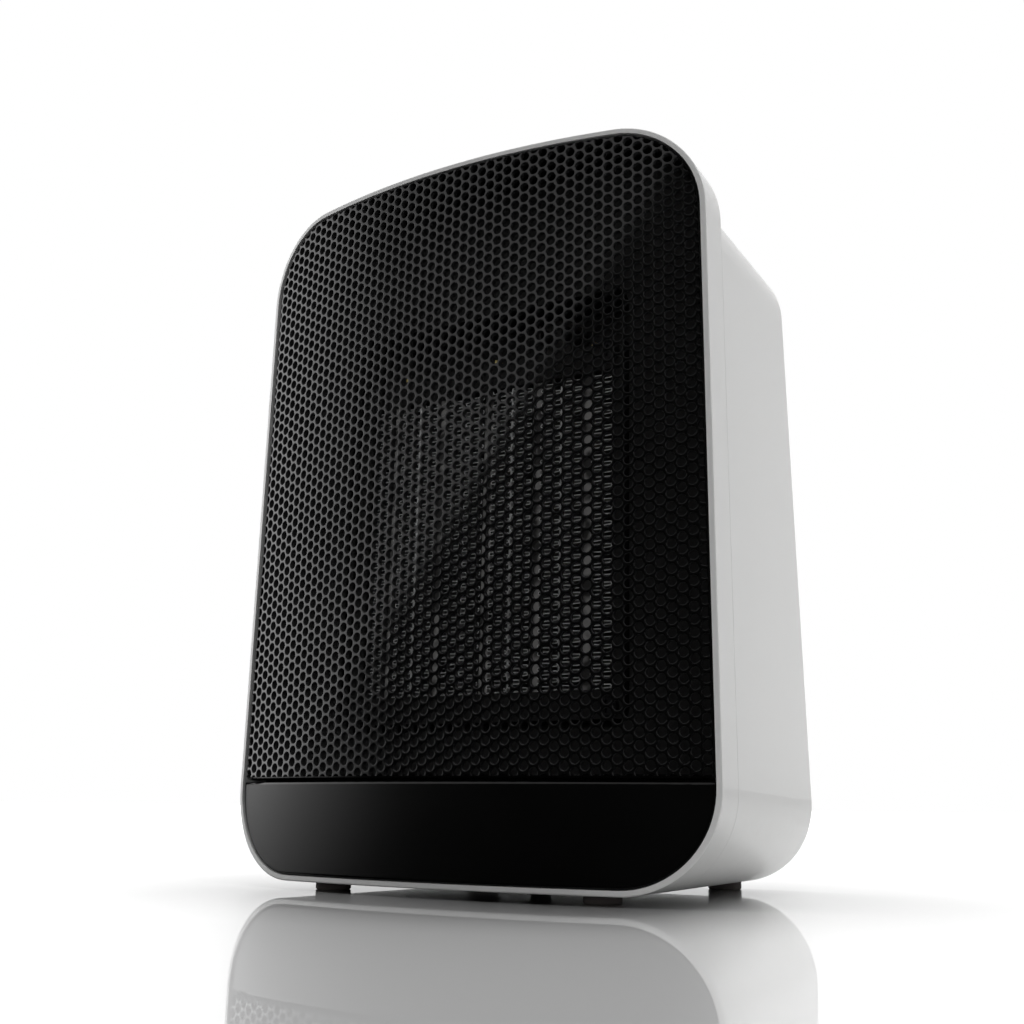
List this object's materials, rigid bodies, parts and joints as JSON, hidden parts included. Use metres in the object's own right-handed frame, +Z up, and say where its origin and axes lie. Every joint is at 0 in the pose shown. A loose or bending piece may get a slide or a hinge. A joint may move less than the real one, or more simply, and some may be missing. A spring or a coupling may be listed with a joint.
{
  "type": "ceramic fan heater",
  "caption": "Upright portable ceramic fan heater with a convex black perforated front, plain lower panel, white case, top knobs and rubber feet.",
  "frame": {"origin": "centre of the footprint on the surface it stands on", "axes": "+Z up, front faces -Y, +X to the right seen from the front"},
  "size_m": [0.1792, 0.1129, 0.2374],
  "materials": {
    "white_case": "smooth satin moulding",
    "black_gloss": "high gloss moulding",
    "black_inner": "matt flame-retardant moulding",
    "control_grey": "fine matt texture",
    "foot_rubber": "matt",
    "zinc_screw": "zinc plated",
    "fin_aluminium": "bare",
    "steel_sheet": "galvanised",
    "cream_moulding": "heat-resistant moulding",
    "copper_wire": "enamelled",
    "bronze_bush": "sintered",
    "amber_lens": "clear",
    "lamp_glass": "clear",
    "terminal_brass": "plain"
  },
  "bodies": {
    "case": {"front_frame": "white_case", "rear_housing": "white_case", "front_grille": "black_gloss", "lower_fascia": "black_gloss", "intake_grille": "white_case", "air_carrier": "black_inner", "rubber_feet": "foot_rubber", "case_screws": "zinc_screw", "air_duct": "black_inner", "duct_screws": "zinc_screw", "separator_plates": "fin_aluminium", "ptc_bars": "fin_aluminium", "fin_strips": "fin_aluminium", "element_terminals": "terminal_brass", "element_frame": "black_inner", "element_screws": "zinc_screw", "cutout_bracket": "steel_sheet", "thermal_cutout": "cream_moulding", "motor_strap": "steel_sheet", "strap_screws": "zinc_screw", "motor_core": "steel_sheet", "coil_bobbin": "cream_moulding", "motor_winding": "copper_wire", "front_bridge": "fin_aluminium", "rear_bridge": "fin_aluminium", "motor_bushes": "bronze_bush", "motor_screws": "zinc_screw", "control_panel": "control_grey", "pilot_lens": "amber_lens", "pilot_lamp": "lamp_glass", "mode_switch": "cream_moulding", "thermostat_body": "cream_moulding", "cable_gland": "black_inner", "gland_nut": "black_inner", "terminal_block": "cream_moulding", "tip_switch": "black_inner"},
    "fan": {"fan_impeller": "black_inner", "fan_shaft": "steel_sheet", "motor_rotor": "fin_aluminium", "fan_clip": "steel_sheet"},
    "mode_control": {"mode_knob": "black_gloss", "mode_spindle": "steel_sheet"},
    "heat_control": {"thermostat_knob": "black_gloss", "thermostat_spindle": "steel_sheet"},
    "tip_sensor": {"tip_plunger": "black_inner"}
  },
  "joints": [
    {"name": "fan_spin", "type": "hinge", "parent": "case", "child": "fan", "pos_m": [0, 0, 0.113], "axis": [0, 1, 0], "continuous": true},
    {"name": "mode_turn", "type": "hinge", "parent": "case", "child": "mode_control", "pos_m": [-0.031, 0.0035, 0.2225], "axis": [0, 0, -1], "range_deg": [0, 135]},
    {"name": "heat_turn", "type": "hinge", "parent": "case", "child": "heat_control", "pos_m": [0.031, 0.0035, 0.2225], "axis": [0, 0, -1], "range_deg": [0, 270]},
    {"name": "tip_press", "type": "slide", "parent": "case", "child": "tip_sensor", "axis": [0, 0, 1], "range_m": [-0.003, 0], "stiffness_N_per_m": 20, "springref_m": -0.003}
  ]
}
